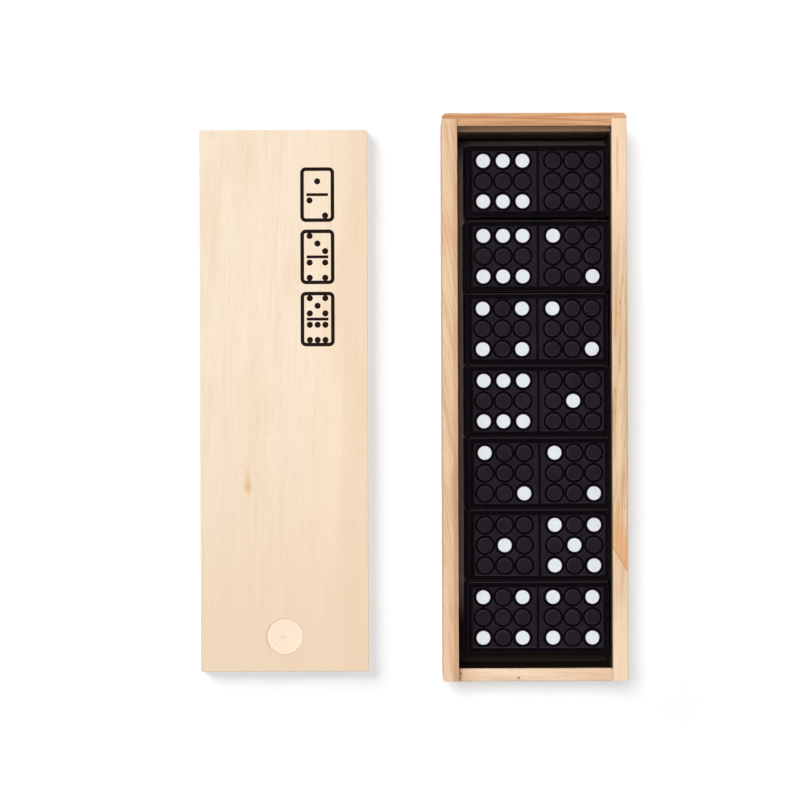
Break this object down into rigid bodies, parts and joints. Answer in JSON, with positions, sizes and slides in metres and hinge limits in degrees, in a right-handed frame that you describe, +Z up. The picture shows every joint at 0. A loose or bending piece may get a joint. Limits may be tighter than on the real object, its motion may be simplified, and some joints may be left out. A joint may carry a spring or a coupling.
{
  "type": "domino storage box",
  "caption": "Slim open wooden box packed with black domino tiles that have white pips on round buttons, with its flat plywood sliding lid lying beside it.",
  "frame": {"origin": "centre of the underside of the box, on the surface that the box and the lid rest on", "axes": "+Z up, +Y along the box towards its rear end, where the lid stops, +X to the right; the lid lies on the -X side"},
  "size_m": [0.1161, 0.1525, 0.03],
  "materials": {
    "pine": "sanded, uncoated",
    "rear_pine": "sanded, uncoated",
    "plywood": "sanded, uncoated",
    "black_plastic": "satin moulded",
    "white_paint": "satin paint"
  },
  "bodies": {
    "box": {"left_wall": "pine", "right_wall": "pine", "rear_wall": "rear_pine", "front_wall": "pine", "floor_panel": "plywood"},
    "lid": {"lid": "plywood"},
    "tile_3_5": {"tile_3_5": "black_plastic"},
    "tile_0_1": {"tile_0_1": "black_plastic"},
    "tile_6_6": {"tile_6_6": "black_plastic"},
    "tile_4_4": {"tile_4_4": "black_plastic", "pips_4_4": "white_paint"},
    "tile_2_3": {"tile_2_3": "black_plastic"},
    "tile_4_6": {"tile_4_6": "black_plastic"},
    "tile_0_0": {"tile_0_0": "black_plastic"},
    "tile_1_5": {"tile_1_5": "black_plastic", "pips_1_5": "white_paint"},
    "tile_5_6": {"tile_5_6": "black_plastic"},
    "tile_1_4": {"tile_1_4": "black_plastic"},
    "tile_0_3": {"tile_0_3": "black_plastic"},
    "tile_2_2": {"tile_2_2": "black_plastic", "pips_2_2": "white_paint"},
    "tile_1_1": {"tile_1_1": "black_plastic"},
    "tile_4_5": {"tile_4_5": "black_plastic"},
    "tile_3_6": {"tile_3_6": "black_plastic"},
    "tile_6_1": {"tile_6_1": "black_plastic", "pips_6_1": "white_paint"},
    "tile_0_5": {"tile_0_5": "black_plastic"},
    "tile_3_3": {"tile_3_3": "black_plastic"},
    "tile_1_2": {"tile_1_2": "black_plastic"},
    "tile_4_2": {"tile_4_2": "black_plastic", "pips_4_2": "white_paint"},
    "tile_3_4": {"tile_3_4": "black_plastic"},
    "tile_0_2": {"tile_0_2": "black_plastic"},
    "tile_5_5": {"tile_5_5": "black_plastic"},
    "tile_6_2": {"tile_6_2": "black_plastic", "pips_6_2": "white_paint"},
    "tile_1_3": {"tile_1_3": "black_plastic"},
    "tile_2_5": {"tile_2_5": "black_plastic"},
    "tile_0_4": {"tile_0_4": "black_plastic"},
    "tile_6_0": {"tile_6_0": "black_plastic", "pips_6_0": "white_paint"}
  },
  "joints": [
    {"name": "lid_lift", "type": "slide", "parent": "box", "child": "lid", "axis": [0, 0, 1], "range_m": [0, 0.05]},
    {"name": "tile_3_5_lift", "type": "slide", "parent": "box", "child": "tile_3_5", "axis": [0, 0, 1], "range_m": [0, 0.032]},
    {"name": "tile_0_1_lift", "type": "slide", "parent": "tile_3_5", "child": "tile_0_1", "axis": [0, 0, 1], "range_m": [0, 0.027]},
    {"name": "tile_6_6_lift", "type": "slide", "parent": "tile_0_1", "child": "tile_6_6", "axis": [0, 0, 1], "range_m": [0, 0.022]},
    {"name": "tile_4_4_lift", "type": "slide", "parent": "tile_6_6", "child": "tile_4_4", "axis": [0, 0, 1], "range_m": [0, 0.017]},
    {"name": "tile_2_3_lift", "type": "slide", "parent": "box", "child": "tile_2_3", "axis": [0, 0, 1], "range_m": [0, 0.032]},
    {"name": "tile_4_6_lift", "type": "slide", "parent": "tile_2_3", "child": "tile_4_6", "axis": [0, 0, 1], "range_m": [0, 0.027]},
    {"name": "tile_0_0_lift", "type": "slide", "parent": "tile_4_6", "child": "tile_0_0", "axis": [0, 0, 1], "range_m": [0, 0.022]},
    {"name": "tile_1_5_lift", "type": "slide", "parent": "tile_0_0", "child": "tile_1_5", "axis": [0, 0, 1], "range_m": [0, 0.017]},
    {"name": "tile_5_6_lift", "type": "slide", "parent": "box", "child": "tile_5_6", "axis": [0, 0, 1], "range_m": [0, 0.032]},
    {"name": "tile_1_4_lift", "type": "slide", "parent": "tile_5_6", "child": "tile_1_4", "axis": [0, 0, 1], "range_m": [0, 0.027]},
    {"name": "tile_0_3_lift", "type": "slide", "parent": "tile_1_4", "child": "tile_0_3", "axis": [0, 0, 1], "range_m": [0, 0.022]},
    {"name": "tile_2_2_lift", "type": "slide", "parent": "tile_0_3", "child": "tile_2_2", "axis": [0, 0, 1], "range_m": [0, 0.017]},
    {"name": "tile_1_1_lift", "type": "slide", "parent": "box", "child": "tile_1_1", "axis": [0, 0, 1], "range_m": [0, 0.032]},
    {"name": "tile_4_5_lift", "type": "slide", "parent": "tile_1_1", "child": "tile_4_5", "axis": [0, 0, 1], "range_m": [0, 0.027]},
    {"name": "tile_3_6_lift", "type": "slide", "parent": "tile_4_5", "child": "tile_3_6", "axis": [0, 0, 1], "range_m": [0, 0.022]},
    {"name": "tile_6_1_lift", "type": "slide", "parent": "tile_3_6", "child": "tile_6_1", "axis": [0, 0, 1], "range_m": [0, 0.017]},
    {"name": "tile_0_5_lift", "type": "slide", "parent": "box", "child": "tile_0_5", "axis": [0, 0, 1], "range_m": [0, 0.032]},
    {"name": "tile_3_3_lift", "type": "slide", "parent": "tile_0_5", "child": "tile_3_3", "axis": [0, 0, 1], "range_m": [0, 0.027]},
    {"name": "tile_1_2_lift", "type": "slide", "parent": "tile_3_3", "child": "tile_1_2", "axis": [0, 0, 1], "range_m": [0, 0.022]},
    {"name": "tile_4_2_lift", "type": "slide", "parent": "tile_1_2", "child": "tile_4_2", "axis": [0, 0, 1], "range_m": [0, 0.017]},
    {"name": "tile_3_4_lift", "type": "slide", "parent": "box", "child": "tile_3_4", "axis": [0, 0, 1], "range_m": [0, 0.032]},
    {"name": "tile_0_2_lift", "type": "slide", "parent": "tile_3_4", "child": "tile_0_2", "axis": [0, 0, 1], "range_m": [0, 0.027]},
    {"name": "tile_5_5_lift", "type": "slide", "parent": "tile_0_2", "child": "tile_5_5", "axis": [0, 0, 1], "range_m": [0, 0.022]},
    {"name": "tile_6_2_lift", "type": "slide", "parent": "tile_5_5", "child": "tile_6_2", "axis": [0, 0, 1], "range_m": [0, 0.017]},
    {"name": "tile_1_3_lift", "type": "slide", "parent": "box", "child": "tile_1_3", "axis": [0, 0, 1], "range_m": [0, 0.032]},
    {"name": "tile_2_5_lift", "type": "slide", "parent": "tile_1_3", "child": "tile_2_5", "axis": [0, 0, 1], "range_m": [0, 0.027]},
    {"name": "tile_0_4_lift", "type": "slide", "parent": "tile_2_5", "child": "tile_0_4", "axis": [0, 0, 1], "range_m": [0, 0.022]},
    {"name": "tile_6_0_lift", "type": "slide", "parent": "tile_0_4", "child": "tile_6_0", "axis": [0, 0, 1], "range_m": [0, 0.017]}
  ]
}
